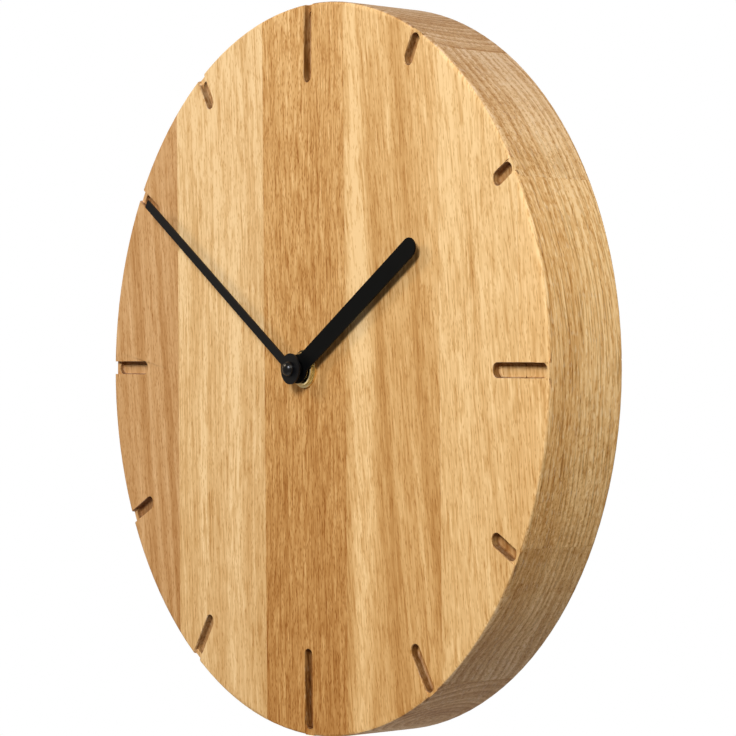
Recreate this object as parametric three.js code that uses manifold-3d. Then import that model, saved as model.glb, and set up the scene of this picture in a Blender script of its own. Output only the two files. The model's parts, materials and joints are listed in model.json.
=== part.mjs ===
// Round oak wall clock with a quartz movement in a pocket at the back.
// Each piece is drawn with x to the right and y up as seen from the front, both from the dial centre,
// and z as the distance from the wall towards the front. The last step turns it into the part's frame:
// +Z up, the front towards -Y, and the origin at the hanging point on the wall plane.
import * as THREE from "three";
import { mergeVertices } from "three/addons/utils/BufferGeometryUtils.js";
import Module from "manifold-3d";

const wasm = await Module();
wasm.setup();

// Oak body, in millimetres
const BODY_RADIUS = 125;
const BODY_DEPTH = 30.5;
const FRONT_EASE = 1.2;
const BACK_EASE = 0.8;
const EASE_STEPS = 2;
const RIM_SIDES = 128;
const LEFT_STAVE = 45.3;
const RIGHT_STAVE = 13.9;
const INNER_JOINTS = [-24.4, 22.9, 72.8];
const STAVE_TILT = 1.25;
const GLUE_LINE = 0.06;
const HANG_HEIGHT = 80;

// Hour marks routed into the face
const MARK_COUNT = 12;
const MARKS_PER_QUARTER = 3;
const MARK_WIDTH = 4.8;
const MARK_DEPTH = 3.4;
const LONG_MARK = 27;
const SHORT_MARK = 15;
const MARK_RIM_WALL = 2;
const MARK_LIP_DROP = 1.3;
// How far each mark, from twelve clockwise, strays from its hour in degrees and from the length above
const MARK_STRAYS = [
  [0, 0], [-1, -3], [-0.5, -4.5], [0, -0.5], [-2.5, -1.5], [-4, 3],
  [-1.5, 2.5], [2.5, 4], [3, 1], [0, -3], [1.5, 0], [-2, -1],
];

// Pocket for the movement
const POCKET_GAP = 3;
const POCKET_CORNER = 6;
const WOOD_FLOOR = 6.5;

// Clearances
const RUN_FIT = 0.06;
const SEAT_GAP = 0.1;
const LAYER_GAP = 0.3;

// Movement case; its size is the width, and its height follows from what it holds
const CASE_SIZE = 56;
const CASE_CORNER = 4;
const CASE_DEPTH = 15.8;
const CASE_WALL = 1.4;
const CASE_SKIN = 1.2;
const PLATE_LEDGE = 1;
const PLATE_THICK = 0.6;
const PLATE_COIL_GAP = 0.5;
const TRAIN_DROP = 9.9;
const PIVOT_BOSS_RADIUS = 1.3;
const PIVOT_BOSS_HEIGHT = 2;
const PIVOT_STOCK = 0.2;

// Battery cell
const CELL_RADIUS = 7.25;
const CELL_END_GAP = 0.35;
const CELL_SIDE_GAP = 0.4;
const CELL_RIM = 0.5;
const NUB_RADIUS = 2.75;
const NUB_HEIGHT = 1;
const CONTACT_THICK = 0.4;
const CONTACT_PAD_RADIUS = 3.2;
const CONTACT_PAD_HEIGHT = 0.5;
const CONTACT_LIFT = 1.6;
const RISER_WIDTH = 2.2;

// Hand stack
const BUSHING_RADIUS = 4;
const BUSHING_RISE = 2.1;
const RUBBER_RADIUS = 9;
const RUBBER_THICK = 1;
const WASHER_RADIUS = 6.6;
const WASHER_THICK = 0.8;
const NUT_RADIUS = 5.7;
const NUT_THICK = 1.2;
const NUT_EASE = 0.3;
const HAND_THICK = 0.6;
const HOUR_RISE = 2.9;
const HOUR_LENGTH = 75.6;
const HOUR_WIDTH = 6.6;
const HOUR_EYE = 5;
const HOUR_COLLAR_RADIUS = 3.4;
const HOUR_COLLAR_HEIGHT = 0.5;
const HOUR_ANGLE = 57.2;
const MINUTE_RISE = 6;
const MINUTE_LENGTH = 110.4;
const MINUTE_WIDTH = 3.2;
const MINUTE_EYE = 5.3;
const MINUTE_CORNER = 0.2;
const MINUTE_ANGLE = -56.5;
const CAP_RADIUS = 2.6;
const CAP_SKIRT = 0.5;
const CAP_HEIGHT = 2.6;

// Wheel train
const WHEEL_THICK = 0.8;
const LAYER_STEP = 1.8;
const TRAIN_RISE = 2.8;
const PINION_BACK = 0.3;
const PINION_FRONT = 0.1;
const ADDENDUM = 0.75;
const DEDENDUM = 1.1;
const TOOTH_ROOT = 0.27;
const TOOTH_TIP = 0.12;
const ARBOR_RADIUS = 0.4;
const MINUTE_SHAFT_RADIUS = 1.5;
const MINUTE_JOURNAL_RADIUS = 1.2;
const MINUTE_TIP_RADIUS = 1.15;
const MINUTE_TIP_LENGTH = 2.1;
const HOUR_PIPE_RADIUS = 2.5;
const HOUR_PIPE_PROUD = 0.2;
const ROTOR_TEETH = 6;
const INTERMEDIATE_TEETH = 36;
const INTERMEDIATE_PINION = 6;
const SECOND_TEETH = 30;
const SECOND_PINION = 6;
const THIRD_TEETH = 45;
const THIRD_PINION = 6;
const CENTRE_TEETH = 48;
const CANNON_TEETH = 10;
const MOTION_TEETH = 30;
const MOTION_PINION = 8;
const HOUR_TEETH = 32;
const THIRD_DISTANCE = 8.5;
const THIRD_BEARING = 190;
const INTERMEDIATE_DISTANCE = 6.72;
const INTERMEDIATE_BEARING = 100;
const ROTOR_DISTANCE = 7;
const ROTOR_BEARING = 60;
const MOTION_DISTANCE = 9.6;
const MOTION_BEARING = 0;

// Step motor, circuit and setting knob
const MAGNET_RADIUS = 1.5;
const MAGNET_LENGTH = 2;
const STATOR_THICK = 1;
const STATOR_HALF_WIDTH = 15.6;
const STATOR_LEG = 2.6;
const STATOR_SHOE = 5.4;
const STATOR_BORE = 1.9;
const COIL_HEIGHT = 21.3;
const COIL_TOP_GAP = 1.7;
const CORE_WIDTH = 2.4;
const BOBBIN_HALF_LENGTH = 12;
const BOBBIN_BORE = 1.5;
const BOBBIN_TUBE = 1.9;
const BOBBIN_FLANGE = 3.6;
const BOBBIN_FLANGE_THICK = 0.7;
const WINDING_RADIUS = 3.2;
const BOARD_THICK = 0.8;
const BOARD_BOTTOM = 15.2;
const CHIP_X = -19;
const CHIP_RADIUS = 3.2;
const CHIP_HEIGHT = 1.4;
const CRYSTAL_X = 19.5;
const CRYSTAL_RADIUS = 1;
const CRYSTAL_LENGTH = 6.2;
const KNOB_RADIUS = 5.2;
const KNOB_THICK = 1.9;
const KNOB_RIBS = 20;
const KNOB_RIB_DEPTH = 0.35;
const KNOB_ARBOR = 0.75;
const KNOB_SOCKET = 1.3;
const MOTION_PIVOT = 0.5;
const MOTION_PIVOT_LENGTH = 0.9;

// Keyhole hanger on the back
const HANGER_LENGTH = 49;
const HANGER_WIDTH = 17;
const HANGER_THICK = 1.6;
const HANGER_INSET = 0.2;
const HANGER_DROP = 5;
const HANGER_SIDE_GAP = 0.3;
const SCREW_SPACING = 40;
const KEY_ENTRY_RADIUS = 4.8;
const KEY_ENTRY_DROP = 13;
const KEY_SLOT_RADIUS = 2.5;
const WALL_SCREW_RADIUS = 2;
const KEY_ROOM_RADIUS = 6.5;
const KEY_ROOM_DEPTH = 9;
const SCREW_HEAD_RADIUS = 3;
const SCREW_SHANK_RADIUS = 1.5;
const SCREW_HEAD_HEIGHT = 1.5;
const SCREW_LENGTH = 12.5;
const SCREW_POINT = 2;
const SCREW_CROSS_WIDTH = 0.7;
const SCREW_CROSS_LENGTH = 3.2;
const SCREW_CROSS_DEPTH = 0.9;

const ROUND_SIDES = 32;
const SMALL_SIDES = 12;
const END_STEPS = 5;
const PAST = 1;

// Levels from the wall towards the front
const pocketFloor = BODY_DEPTH - WOOD_FLOOR;
const caseFront = pocketFloor - RUBBER_THICK;
const caseBack = caseFront - CASE_DEPTH;
const roomFront = caseFront - CASE_SKIN;
const roomBack = caseBack + CASE_SKIN;
const rearLayer = (step) => roomBack + TRAIN_RISE + step * LAYER_STEP;
const plateBack = rearLayer(2) + WHEEL_THICK + LAYER_GAP;
const plateFront = plateBack + PLATE_THICK;
const frontLayer = (step) => plateFront + LAYER_GAP + step * LAYER_STEP;
const hourSeat = BODY_DEPTH + HOUR_RISE;
const minuteSeat = BODY_DEPTH + MINUTE_RISE;
const capBase = minuteSeat + HAND_THICK;
const pivotBack = roomBack + LAYER_GAP;
const pivotFront = plateFront - SEAT_GAP;

// Plan of the case: the train's room above, the cell's bay below
const caseHalf = CASE_SIZE / 2;
const roomHalf = caseHalf - CASE_WALL;
const roomTop = COIL_HEIGHT + BOBBIN_FLANGE + COIL_TOP_GAP;
const caseTop = roomTop + CASE_WALL;
const roomBottom = -TRAIN_DROP;
const bayTop = roomBottom - CASE_WALL;
const cellHeight = bayTop - CELL_SIDE_GAP - CELL_RADIUS;
const bayBottom = cellHeight - CELL_RADIUS - CELL_SIDE_GAP;
const caseBottom = bayBottom - CASE_WALL;
const cellDepth = roomFront - LAYER_GAP - CELL_RADIUS;
const contactFace = roomHalf - SEAT_GAP - CONTACT_THICK;
const padTip = contactFace - CONTACT_PAD_HEIGHT;

// Wheel axes
const bearing = (degrees) => (degrees * Math.PI) / 180;
const polar = (from, distance, degrees) => [
  from[0] + distance * Math.cos(bearing(degrees)),
  from[1] + distance * Math.sin(bearing(degrees)),
];
const hubAxis = [0, 0];
const thirdAxis = polar(hubAxis, THIRD_DISTANCE, THIRD_BEARING);
const intermediateAxis = polar(hubAxis, INTERMEDIATE_DISTANCE, INTERMEDIATE_BEARING);
const rotorAxis = polar(intermediateAxis, ROTOR_DISTANCE, ROTOR_BEARING);
const motionAxis = polar(hubAxis, MOTION_DISTANCE, MOTION_BEARING);

// Solids
function solid(geometry) {
  const bare = new THREE.BufferGeometry();
  const loose = geometry.index ? geometry.toNonIndexed() : geometry;
  bare.setAttribute("position", loose.getAttribute("position"));
  const merged = mergeVertices(bare, 1e-4);
  return new wasm.Manifold(
    new wasm.Mesh({
      numProp: 3,
      vertProperties: merged.attributes.position.array,
      triVerts: new Uint32Array(merged.index.array),
    }),
  );
}

const joined = (...pieces) => wasm.Manifold.union(pieces);
const cut = (body, ...tools) => wasm.Manifold.difference([body, ...tools]);

function slab(shape, from, to) {
  const options = { depth: to - from, bevelEnabled: false, curveSegments: END_STEPS };
  return solid(new THREE.ExtrudeGeometry(shape, options).translate(0, 0, from));
}

function block(x, y, z) {
  const geometry = new THREE.BoxGeometry(x[1] - x[0], y[1] - y[0], z[1] - z[0]);
  return solid(geometry.translate((x[0] + x[1]) / 2, (y[0] + y[1]) / 2, (z[0] + z[1]) / 2));
}

// Turned piece about the z axis through a centre; each profile point is a radius and a z
function turned(profile, sides = ROUND_SIDES, centre = hubAxis) {
  const points = profile.map(([radius, z]) => new THREE.Vector2(radius, z));
  const geometry = new THREE.LatheGeometry(points, sides).rotateX(Math.PI / 2);
  return solid(geometry.translate(centre[0], centre[1], 0));
}

function rod(radius, from, to, centre = hubAxis, sides = SMALL_SIDES) {
  return turned([[0, from], [radius, from], [radius, to], [0, to]], sides, centre);
}

// Hole whose flats, not its corners, clear the stated radius
function hole(radius, from, to, centre = hubAxis, sides = SMALL_SIDES) {
  return rod(radius / Math.cos(Math.PI / sides), from, to, centre, sides);
}

function ring(inner, outer, from, to, sides = ROUND_SIDES) {
  return cut(rod(outer, from, to, hubAxis, sides), hole(inner, from - PAST, to + PAST, hubAxis, sides));
}

function roundedRectangle(left, right, bottom, top, corner) {
  const shape = new THREE.Shape();
  shape.moveTo(left + corner, bottom);
  shape.lineTo(right - corner, bottom);
  shape.absarc(right - corner, bottom + corner, corner, -Math.PI / 2, 0, false);
  shape.lineTo(right, top - corner);
  shape.absarc(right - corner, top - corner, corner, 0, Math.PI / 2, false);
  shape.lineTo(left + corner, top);
  shape.absarc(left + corner, top - corner, corner, Math.PI / 2, Math.PI, false);
  shape.lineTo(left, bottom + corner);
  shape.absarc(left + corner, bottom + corner, corner, Math.PI, Math.PI * 1.5, false);
  return shape;
}

// Upright slot with round ends; bottom and top are its two tips
function slotShape(width, bottom, top) {
  const radius = width / 2;
  const shape = new THREE.Shape();
  shape.moveTo(radius, bottom + radius);
  shape.lineTo(radius, top - radius);
  shape.absarc(0, top - radius, radius, 0, Math.PI, false);
  shape.lineTo(-radius, bottom + radius);
  shape.absarc(0, bottom + radius, radius, Math.PI, Math.PI * 2, false);
  return shape;
}

// Toothed wheel: straight-sided teeth with generous backlash; turn is the bearing of one tooth in radians
function gear(teeth, module, turn, from, to, centre) {
  const pitch = (Math.PI * 2) / teeth;
  const root = module * (teeth / 2 - DEDENDUM);
  const tip = module * (teeth / 2 + ADDENDUM);
  const corners = [[root, -TOOTH_ROOT], [tip, -TOOTH_TIP], [tip, TOOTH_TIP], [root, TOOTH_ROOT]];
  const points = [];
  for (let tooth = 0; tooth < teeth; tooth += 1) {
    for (const [radius, share] of corners) {
      const angle = turn + (tooth + share) * pitch;
      points.push(new THREE.Vector2(radius * Math.cos(angle), radius * Math.sin(angle)));
    }
  }
  return slab(new THREE.Shape(points), from, to).translate([centre[0], centre[1], 0]);
}

// Bearing of a tooth on the driven wheel so that it meshes with the driver at rest
function meshTurn(driverTeeth, driverTurn, drivenTeeth, degrees) {
  const share = ((bearing(degrees) - driverTurn) * driverTeeth) / (Math.PI * 2);
  const part = share - Math.floor(share);
  return bearing(degrees) + Math.PI + ((part + 0.5) * Math.PI * 2) / drivenTeeth;
}

const moduleFor = (distance, teeth, mate) => (2 * distance) / (teeth + mate);
const wheelBand = (level) => [level, level + WHEEL_THICK];
const pinionBand = (level) => [level - PINION_BACK, level + WHEEL_THICK + PINION_FRONT];

// Part, with one mesh for each piece
const part = new THREE.Group();

function add(name, body, color, roughness, metalness) {
  const mesh = body.getMesh();
  const points = [];
  for (let i = 0; i < mesh.numVert; i += 1) {
    const [x, y, z] = mesh.vertProperties.slice(i * mesh.numProp, i * mesh.numProp + 3);
    points.push(x, -z, y - HANG_HEIGHT);
  }
  const geometry = new THREE.BufferGeometry();
  geometry.setAttribute("position", new THREE.Float32BufferAttribute(points, 3));
  geometry.setIndex(Array.from(mesh.triVerts));
  geometry.computeVertexNormals();
  const material = new THREE.MeshStandardMaterial({ color, roughness, metalness });
  const made = new THREE.Mesh(geometry, material);
  made.name = name;
  part.add(made);
}

// Oak disc with eased edges
function easeArc(radius, level, size, start) {
  const arc = [];
  for (let step = 0; step <= EASE_STEPS; step += 1) {
    const angle = start + ((Math.PI / 2) * step) / EASE_STEPS;
    arc.push([radius + size * Math.cos(angle), level + size * Math.sin(angle)]);
  }
  return arc;
}
const discProfile = [
  [0, 0],
  ...easeArc(BODY_RADIUS - BACK_EASE, BACK_EASE, BACK_EASE, -Math.PI / 2),
  ...easeArc(BODY_RADIUS - FRONT_EASE, BODY_DEPTH - FRONT_EASE, FRONT_EASE, 0),
  [0, BODY_DEPTH],
];
const woodCuts = [];

// Hour marks: a slot that stops short of the rim, and a shallower notch that runs out through it
for (let mark = 0; mark < MARK_COUNT; mark += 1) {
  const [strayTurn, strayLength] = MARK_STRAYS[mark];
  const length = (mark % MARKS_PER_QUARTER === 0 ? LONG_MARK : SHORT_MARK) + strayLength;
  const slotTop = BODY_RADIUS - MARK_RIM_WALL;
  const slot = slotShape(MARK_WIDTH, BODY_RADIUS - length, slotTop);
  const half = MARK_WIDTH / 2;
  const lip = [slotTop - MARK_WIDTH, BODY_RADIUS + PAST];
  const lipFloor = BODY_DEPTH - MARK_LIP_DROP;
  const turn = [0, 0, (-360 * mark) / MARK_COUNT - strayTurn];
  woodCuts.push(slab(slot, BODY_DEPTH - MARK_DEPTH, BODY_DEPTH + PAST).rotate(turn));
  woodCuts.push(block([-half, half], lip, [lipFloor, BODY_DEPTH + PAST]).rotate(turn));
}

// Movement pocket and the hole for the hand shaft
const pocketPlan = roundedRectangle(
  -caseHalf - POCKET_GAP,
  caseHalf + POCKET_GAP,
  caseBottom - POCKET_GAP,
  caseTop + POCKET_GAP,
  POCKET_CORNER,
);
woodCuts.push(slab(pocketPlan, -PAST, pocketFloor));
const shaftHole = BUSHING_RADIUS + LAYER_GAP;
woodCuts.push(hole(shaftHole, pocketFloor - PAST, BODY_DEPTH + PAST, hubAxis, ROUND_SIDES));

// Recess for the hanger, room for the wall screw's head and pilot holes for the hanger's screws
const hangerMid = HANG_HEIGHT - HANGER_DROP;
const hangerBottom = hangerMid - HANGER_LENGTH / 2;
const hangerTop = hangerMid + HANGER_LENGTH / 2;
const hangerFront = HANGER_INSET + HANGER_THICK;
const keyEntry = HANG_HEIGHT - KEY_ENTRY_DROP;
const keySlotTop = HANG_HEIGHT + WALL_SCREW_RADIUS;
const recessPlan = slotShape(
  HANGER_WIDTH + 2 * HANGER_SIDE_GAP,
  hangerBottom - HANGER_SIDE_GAP,
  hangerTop + HANGER_SIDE_GAP,
);
const keyRoom = slotShape(2 * KEY_ROOM_RADIUS, keyEntry - KEY_ROOM_RADIUS, HANG_HEIGHT + KEY_ROOM_RADIUS);
const screwHeights = [hangerMid - SCREW_SPACING / 2, hangerMid + SCREW_SPACING / 2];
const screwTip = HANGER_INSET + SCREW_LENGTH;
woodCuts.push(slab(recessPlan, -PAST, hangerFront + SEAT_GAP));
woodCuts.push(slab(keyRoom, -PAST, KEY_ROOM_DEPTH));
for (const height of screwHeights) {
  woodCuts.push(hole(SCREW_SHANK_RADIUS + SEAT_GAP, -PAST, screwTip + SEAT_GAP, [0, height]));
}
const disc = cut(turned(discProfile, RIM_SIDES), ...woodCuts);

// Staves glued edge to edge, all tilted a little against the hour marks
const OAK_TONES = [0xb98a52, 0xd9b37c, 0xc99a5e, 0xd6ad74, 0xdab67f, 0xd8b179];
const staveEdges = [
  -BODY_RADIUS - PAST,
  -BODY_RADIUS + LEFT_STAVE,
  ...INNER_JOINTS,
  BODY_RADIUS - RIGHT_STAVE,
  BODY_RADIUS + PAST,
];
for (let stave = 0; stave + 1 < staveEdges.length; stave += 1) {
  const width = [staveEdges[stave] + GLUE_LINE / 2, staveEdges[stave + 1] - GLUE_LINE / 2];
  const length = [-BODY_RADIUS - PAST, BODY_RADIUS + PAST];
  const strip = block(width, length, [-PAST, BODY_DEPTH + PAST]).rotate([0, 0, STAVE_TILT]);
  const piece = wasm.Manifold.intersection([disc, strip]);
  add(`oak_stave_${stave + 1}`, piece, OAK_TONES[stave], 0.62, 0);
}

// Case of the movement, in two shells that meet at the train plate
const casePlan = roundedRectangle(-caseHalf, caseHalf, caseBottom, caseTop, CASE_CORNER);
const shellJoint = plateBack - LAYER_GAP;
const across = [-roomHalf, roomHalf];
const upper = [roomBottom, roomTop];
const lower = [bayBottom, bayTop];
const ledgeAcross = [-roomHalf + PLATE_LEDGE, roomHalf - PLATE_LEDGE];
const ledgeUpper = [roomBottom + PLATE_LEDGE, roomTop - PLATE_LEDGE];
const motionPocket = roomFront + MOTION_PIVOT_LENGTH - LAYER_GAP;
const frontCase = cut(
  slab(casePlan, plateBack, caseFront),
  block(across, upper, [plateBack - PAST, plateFront]),
  block(ledgeAcross, ledgeUpper, [plateBack - PAST, roomFront]),
  block(across, lower, [plateBack - PAST, roomFront]),
  hole(BUSHING_RADIUS + RUN_FIT, roomFront - PAST, caseFront + PAST, hubAxis, ROUND_SIDES),
  hole(MOTION_PIVOT + RUN_FIT, roomFront - PAST, motionPocket + SEAT_GAP, motionAxis),
);
add("movement_front_case", frontCase, 0x17181a, 0.5, 0);

const riserFoot = roomBack + CONTACT_LIFT;
const riserBand = [riserFoot - LAYER_GAP, riserFoot + RISER_WIDTH + LAYER_GAP];
const riserDepth = 2 * CONTACT_THICK;
const rearShell = cut(
  slab(casePlan, caseBack, shellJoint),
  block(across, upper, [roomBack, shellJoint + PAST]),
  block(across, lower, [caseBack - PAST, shellJoint + PAST]),
  block([-roomHalf, -roomHalf + riserDepth], [bayTop - PAST, roomBottom + PAST], riserBand),
  block([roomHalf - riserDepth, roomHalf], [bayTop - PAST, roomBottom + PAST], riserBand),
);
const bossTop = roomBack + PIVOT_BOSS_HEIGHT;
const pivotAxes = [hubAxis, intermediateAxis, thirdAxis, rotorAxis];
const bosses = pivotAxes.map((axis) => rod(PIVOT_BOSS_RADIUS, roomBack - PIVOT_STOCK, bossTop, axis));
const pivotHole = ARBOR_RADIUS + RUN_FIT;
const sockets = pivotAxes.map((axis) => hole(pivotHole, pivotBack - SEAT_GAP, bossTop + PAST, axis));
const rearCase = cut(
  joined(rearShell, ...bosses),
  ...sockets,
  hole(KNOB_ARBOR + RUN_FIT, caseBack - PAST, roomBack + PAST, motionAxis),
);
add("movement_rear_case", rearCase, 0x17181a, 0.5, 0);

const plateAcross = [-roomHalf + SEAT_GAP, roomHalf - SEAT_GAP];
const plateUp = [roomBottom + SEAT_GAP, COIL_HEIGHT - BOBBIN_FLANGE - PLATE_COIL_GAP];
const plateHoles = pivotAxes.map((axis) => hole(pivotHole, plateBack - PAST, plateFront + PAST, axis));
const trainPlate = cut(
  block(plateAcross, plateUp, [plateBack, plateFront - SEAT_GAP]),
  ...plateHoles,
  hole(KNOB_ARBOR + RUN_FIT, plateBack - PAST, plateFront + PAST, motionAxis),
);
add("train_plate", trainPlate, 0xd9d6cc, 0.55, 0);

// Wheel train
const rotorModule = moduleFor(ROTOR_DISTANCE, ROTOR_TEETH, INTERMEDIATE_TEETH);
const intermediateModule = moduleFor(INTERMEDIATE_DISTANCE, INTERMEDIATE_PINION, SECOND_TEETH);
const secondModule = moduleFor(THIRD_DISTANCE, SECOND_PINION, THIRD_TEETH);
const thirdModule = moduleFor(THIRD_DISTANCE, THIRD_PINION, CENTRE_TEETH);
const cannonModule = moduleFor(MOTION_DISTANCE, CANNON_TEETH, MOTION_TEETH);
const motionModule = moduleFor(MOTION_DISTANCE, MOTION_PINION, HOUR_TEETH);

const intermediateTurn = meshTurn(ROTOR_TEETH, 0, INTERMEDIATE_TEETH, ROTOR_BEARING + 180);
const secondTurn = meshTurn(INTERMEDIATE_PINION, 0, SECOND_TEETH, INTERMEDIATE_BEARING + 180);
const thirdTurn = meshTurn(SECOND_PINION, 0, THIRD_TEETH, THIRD_BEARING);
const centreTurn = meshTurn(THIRD_PINION, 0, CENTRE_TEETH, THIRD_BEARING + 180);
const motionTurn = meshTurn(CANNON_TEETH, 0, MOTION_TEETH, MOTION_BEARING);
const hourTurn = meshTurn(MOTION_PINION, 0, HOUR_TEETH, MOTION_BEARING + 180);

const magnetMid = rearLayer(0) + WHEEL_THICK + PINION_FRONT + LAYER_GAP + MAGNET_LENGTH / 2;
const rotor = joined(
  rod(ARBOR_RADIUS, pivotBack, pivotFront, rotorAxis),
  gear(ROTOR_TEETH, rotorModule, 0, ...pinionBand(rearLayer(0)), rotorAxis),
  rod(MAGNET_RADIUS, magnetMid - MAGNET_LENGTH / 2, magnetMid + MAGNET_LENGTH / 2, rotorAxis),
);
add("rotor", rotor, 0x5b5d60, 0.45, 0.7);

const intermediateWheel = joined(
  rod(ARBOR_RADIUS, pivotBack, pivotFront, intermediateAxis),
  gear(INTERMEDIATE_TEETH, rotorModule, intermediateTurn, ...wheelBand(rearLayer(0)), intermediateAxis),
  gear(INTERMEDIATE_PINION, intermediateModule, 0, ...pinionBand(rearLayer(1)), intermediateAxis),
);
add("intermediate_wheel", intermediateWheel, 0xe6e2d6, 0.5, 0);

const secondWheel = joined(
  rod(ARBOR_RADIUS, pivotBack, pivotFront, hubAxis),
  gear(SECOND_TEETH, intermediateModule, secondTurn, ...wheelBand(rearLayer(1)), hubAxis),
  gear(SECOND_PINION, secondModule, 0, ...pinionBand(rearLayer(2)), hubAxis),
);
add("second_wheel", secondWheel, 0xe6e2d6, 0.5, 0);

const thirdWheel = joined(
  rod(ARBOR_RADIUS, pivotBack, frontLayer(0) + WHEEL_THICK + LAYER_GAP, thirdAxis),
  gear(THIRD_TEETH, secondModule, thirdTurn, ...wheelBand(rearLayer(2)), thirdAxis),
  gear(THIRD_PINION, thirdModule, 0, ...pinionBand(frontLayer(0)), thirdAxis),
);
add("third_wheel", thirdWheel, 0xe6e2d6, 0.5, 0);

const centreWheel = cut(
  gear(CENTRE_TEETH, thirdModule, centreTurn, ...wheelBand(frontLayer(0)), hubAxis),
  hole(MINUTE_JOURNAL_RADIUS + RUN_FIT, frontLayer(0) - PAST, frontLayer(1), hubAxis),
);
add("centre_wheel", centreWheel, 0xe6e2d6, 0.5, 0);

// Motion work: the minute arbor, the motion wheel that the knob turns, and the hour wheel with its pipe
const cannonBand = pinionBand(frontLayer(1));
const minuteArbor = joined(
  turned([
    [0, frontLayer(0) - SEAT_GAP],
    [MINUTE_JOURNAL_RADIUS, frontLayer(0) - SEAT_GAP],
    [MINUTE_JOURNAL_RADIUS, cannonBand[0]],
    [MINUTE_SHAFT_RADIUS, cannonBand[0]],
    [MINUTE_SHAFT_RADIUS, minuteSeat],
    [MINUTE_TIP_RADIUS, minuteSeat],
    [MINUTE_TIP_RADIUS, minuteSeat + MINUTE_TIP_LENGTH],
    [0, minuteSeat + MINUTE_TIP_LENGTH],
  ], SMALL_SIDES),
  gear(CANNON_TEETH, cannonModule, 0, ...cannonBand, hubAxis),
);
add("minute_arbor", minuteArbor, 0xb9bcc0, 0.35, 1);

const motionBand = pinionBand(frontLayer(2));
const knobFront = caseBack - LAYER_GAP;
const knobBack = knobFront - KNOB_THICK;
const arborBack = knobFront - KNOB_SOCKET;
const motionWheel = joined(
  rod(KNOB_ARBOR, arborBack, motionBand[0], motionAxis),
  rod(MOTION_PIVOT, motionBand[0], motionPocket, motionAxis),
  gear(MOTION_TEETH, cannonModule, motionTurn, ...wheelBand(frontLayer(1)), motionAxis),
  gear(MOTION_PINION, motionModule, 0, ...motionBand, motionAxis),
);
add("motion_wheel", motionWheel, 0xe6e2d6, 0.5, 0);

const hourPipeTop = hourSeat + HAND_THICK + HOUR_PIPE_PROUD;
const hourBore = hole(MINUTE_SHAFT_RADIUS + RUN_FIT, frontLayer(2) - PAST, hourPipeTop + PAST, hubAxis);
const hourWheel = cut(
  joined(
    gear(HOUR_TEETH, motionModule, hourTurn, ...wheelBand(frontLayer(2)), hubAxis),
    rod(HOUR_PIPE_RADIUS, frontLayer(2), hourPipeTop, hubAxis, ROUND_SIDES),
  ),
  hourBore,
);
add("hour_wheel", hourWheel, 0xe6e2d6, 0.5, 0);

const knobPoints = [];
for (let i = 0; i < KNOB_RIBS * 2; i += 1) {
  const radius = i % 2 === 0 ? KNOB_RADIUS : KNOB_RADIUS - KNOB_RIB_DEPTH;
  const angle = (Math.PI * i) / KNOB_RIBS;
  knobPoints.push(new THREE.Vector2(radius * Math.cos(angle), radius * Math.sin(angle)));
}
const knob = cut(
  slab(new THREE.Shape(knobPoints), knobBack, knobFront).translate([motionAxis[0], motionAxis[1], 0]),
  hole(KNOB_ARBOR + RUN_FIT, arborBack - SEAT_GAP, knobFront + PAST, motionAxis),
);
add("setting_knob", knob, 0x2a2b2e, 0.45, 0);

// Step motor
const coreBand = [COIL_HEIGHT - CORE_WIDTH / 2, COIL_HEIGHT + CORE_WIDTH / 2];
const statorBand = [magnetMid - STATOR_THICK / 2, magnetMid + STATOR_THICK / 2];
const statorCut = [statorBand[0] - PAST, statorBand[1] + PAST];
const shoeBand = [rotorAxis[1] - STATOR_SHOE / 2, rotorAxis[1] + STATOR_SHOE / 2];
const windowHalf = STATOR_HALF_WIDTH - STATOR_LEG;
const stator = cut(
  block([-STATOR_HALF_WIDTH, STATOR_HALF_WIDTH], [shoeBand[0], coreBand[1]], statorBand),
  block([-windowHalf, windowHalf], [shoeBand[1], coreBand[0]], statorCut),
  hole(STATOR_BORE, ...statorCut, rotorAxis),
);
add("stator", stator, 0x9a9da1, 0.4, 1);

// Piece turned about the coil's axis, which runs across the case
function acrossCoil(profile) {
  const points = profile.map(([radius, x]) => new THREE.Vector2(radius, x));
  const geometry = new THREE.LatheGeometry(points, SMALL_SIDES).rotateZ(-Math.PI / 2);
  return solid(geometry.translate(0, COIL_HEIGHT, magnetMid));
}
const windingHalf = BOBBIN_HALF_LENGTH - BOBBIN_FLANGE_THICK;
const bobbin = acrossCoil([
  [BOBBIN_BORE, -BOBBIN_HALF_LENGTH],
  [BOBBIN_FLANGE, -BOBBIN_HALF_LENGTH],
  [BOBBIN_FLANGE, -windingHalf],
  [BOBBIN_TUBE, -windingHalf],
  [BOBBIN_TUBE, windingHalf],
  [BOBBIN_FLANGE, windingHalf],
  [BOBBIN_FLANGE, BOBBIN_HALF_LENGTH],
  [BOBBIN_BORE, BOBBIN_HALF_LENGTH],
  [BOBBIN_BORE, -BOBBIN_HALF_LENGTH],
]);
add("coil_bobbin", bobbin, 0xe9e4d4, 0.5, 0);

const windingBore = BOBBIN_TUBE + SEAT_GAP;
const winding = acrossCoil([
  [windingBore, -windingHalf + SEAT_GAP],
  [WINDING_RADIUS, -windingHalf + SEAT_GAP],
  [WINDING_RADIUS, windingHalf - SEAT_GAP],
  [windingBore, windingHalf - SEAT_GAP],
  [windingBore, -windingHalf + SEAT_GAP],
]);
add("coil_winding", winding, 0xa8532a, 0.35, 0.8);

// Circuit
const boardBack = roomBack + LAYER_GAP;
const boardFront = boardBack + BOARD_THICK;
const boardHalf = roomHalf - LAYER_GAP;
const board = block([-boardHalf, boardHalf], [BOARD_BOTTOM, roomTop - LAYER_GAP], [boardBack, boardFront]);
add("circuit_board", board, 0x2f5d3a, 0.55, 0);

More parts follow.
